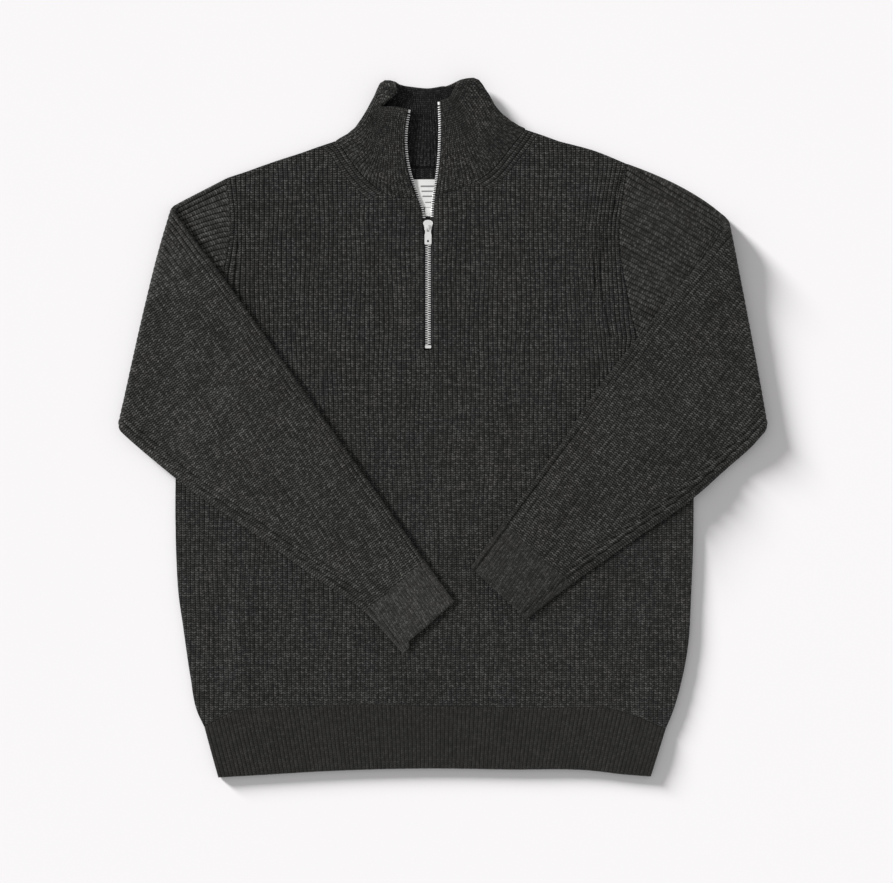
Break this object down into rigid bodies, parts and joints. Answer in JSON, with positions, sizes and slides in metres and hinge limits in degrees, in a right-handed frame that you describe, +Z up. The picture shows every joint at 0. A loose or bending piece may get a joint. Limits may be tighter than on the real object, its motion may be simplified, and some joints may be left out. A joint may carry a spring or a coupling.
{
  "type": "quarter zip sweater",
  "caption": "Chunky rib-knit pullover laid flat, with an open stand collar, a short metal front zip, and both sleeves folded over the front.",
  "frame": {"origin": "on the surface that the sweater lies on, below the middle of its outline from above", "axes": "+Z up from the surface it lies on, out of its front; +Y from the hem towards the collar; the wearer's left is at +X"},
  "size_m": [0.7151, 0.7707, 0.0207],
  "materials": {
    "knit": "matt charcoal marl wool rib knit",
    "rib_band": "matt charcoal marl fine rib",
    "zip_tape": "black woven tape",
    "zip_metal": "polished nickel-coloured metal",
    "label": "off-white woven label, left without words"
  },
  "bodies": {
    "garment": {"back": "knit", "front": "knit", "sleeve_right": "knit", "sleeve_left": "knit", "hem_back": "rib_band", "hem_front": "rib_band", "cuff_right": "rib_band", "cuff_left": "rib_band", "collar": "rib_band", "zip_tape_right": "zip_tape", "zip_tape_left": "zip_tape", "zip_slider": "zip_metal", "zip_bottom_stop": "zip_metal", "zip_top_stop_right": "zip_metal", "zip_top_stop_left": "zip_metal", "neck_label": "label", "size_tab": "label"},
    "pull_tab": {"zip_pull": "zip_metal"}
  },
  "joints": [
    {"name": "pull_tab_hinge", "type": "hinge", "parent": "garment", "child": "pull_tab", "pos_m": [-0.017, 0.2205, 0.00905], "axis": [-1, 0, 0], "range_deg": [0, 175]}
  ]
}
